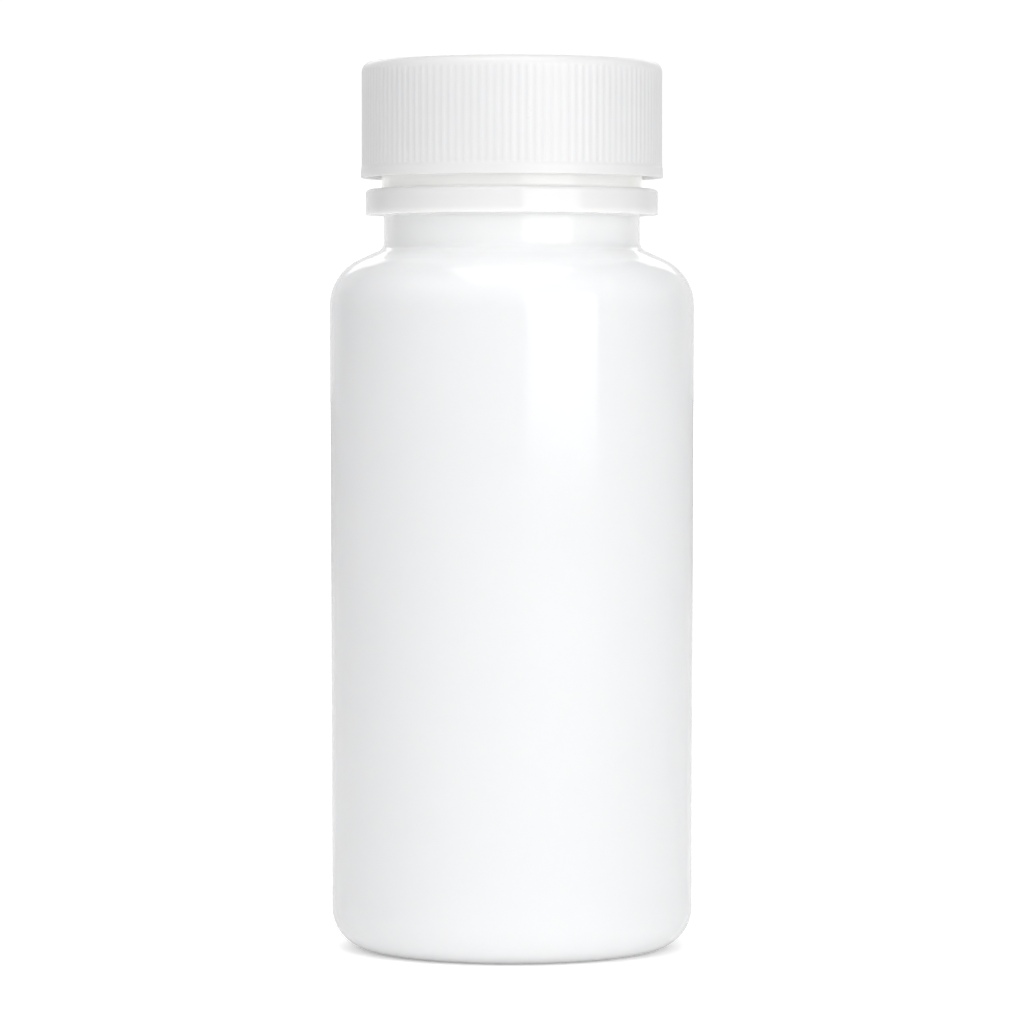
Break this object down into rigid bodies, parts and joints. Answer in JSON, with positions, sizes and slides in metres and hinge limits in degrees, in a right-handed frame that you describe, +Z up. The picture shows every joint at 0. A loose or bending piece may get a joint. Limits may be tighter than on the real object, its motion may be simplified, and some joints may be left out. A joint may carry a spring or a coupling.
{
  "type": "wide-neck plastic bottle with screw cap",
  "caption": "White blow-moulded wide-neck bottle with a rounded shoulder and a neck collar, closed by a ribbed screw cap with a foam liner.",
  "frame": {"origin": "middle of the base, on the surface that the bottle stands on", "axes": "+Z up along the bottle's axis, -Y towards the viewer, +X to the viewer's right"},
  "size_m": [0.0582, 0.0582, 0.1412],
  "materials": {
    "bottle_hdpe": "semi-gloss white, faintly translucent",
    "cap_pp": "satin white",
    "liner_foam": "matt closed-cell foam"
  },
  "bodies": {
    "bottle": {"bottle": "bottle_hdpe"},
    "liner": {"sealing_liner": "liner_foam"},
    "cap": {"screw_cap": "cap_pp"}
  },
  "joints": [
    {"name": "cap_rise", "type": "slide", "parent": "bottle", "child": "liner", "axis": [0, 0, 1], "range_m": [0, 0.0169]},
    {"name": "cap_turn", "type": "hinge", "parent": "liner", "child": "cap", "pos_m": [0, 0, 0.138], "axis": [0, 0, 1], "range_deg": [0, 1440]}
  ],
  "couplings": [
    {"joint": "cap_rise", "follows": "cap_turn", "m_per_rad": 0.00066845}
  ]
}
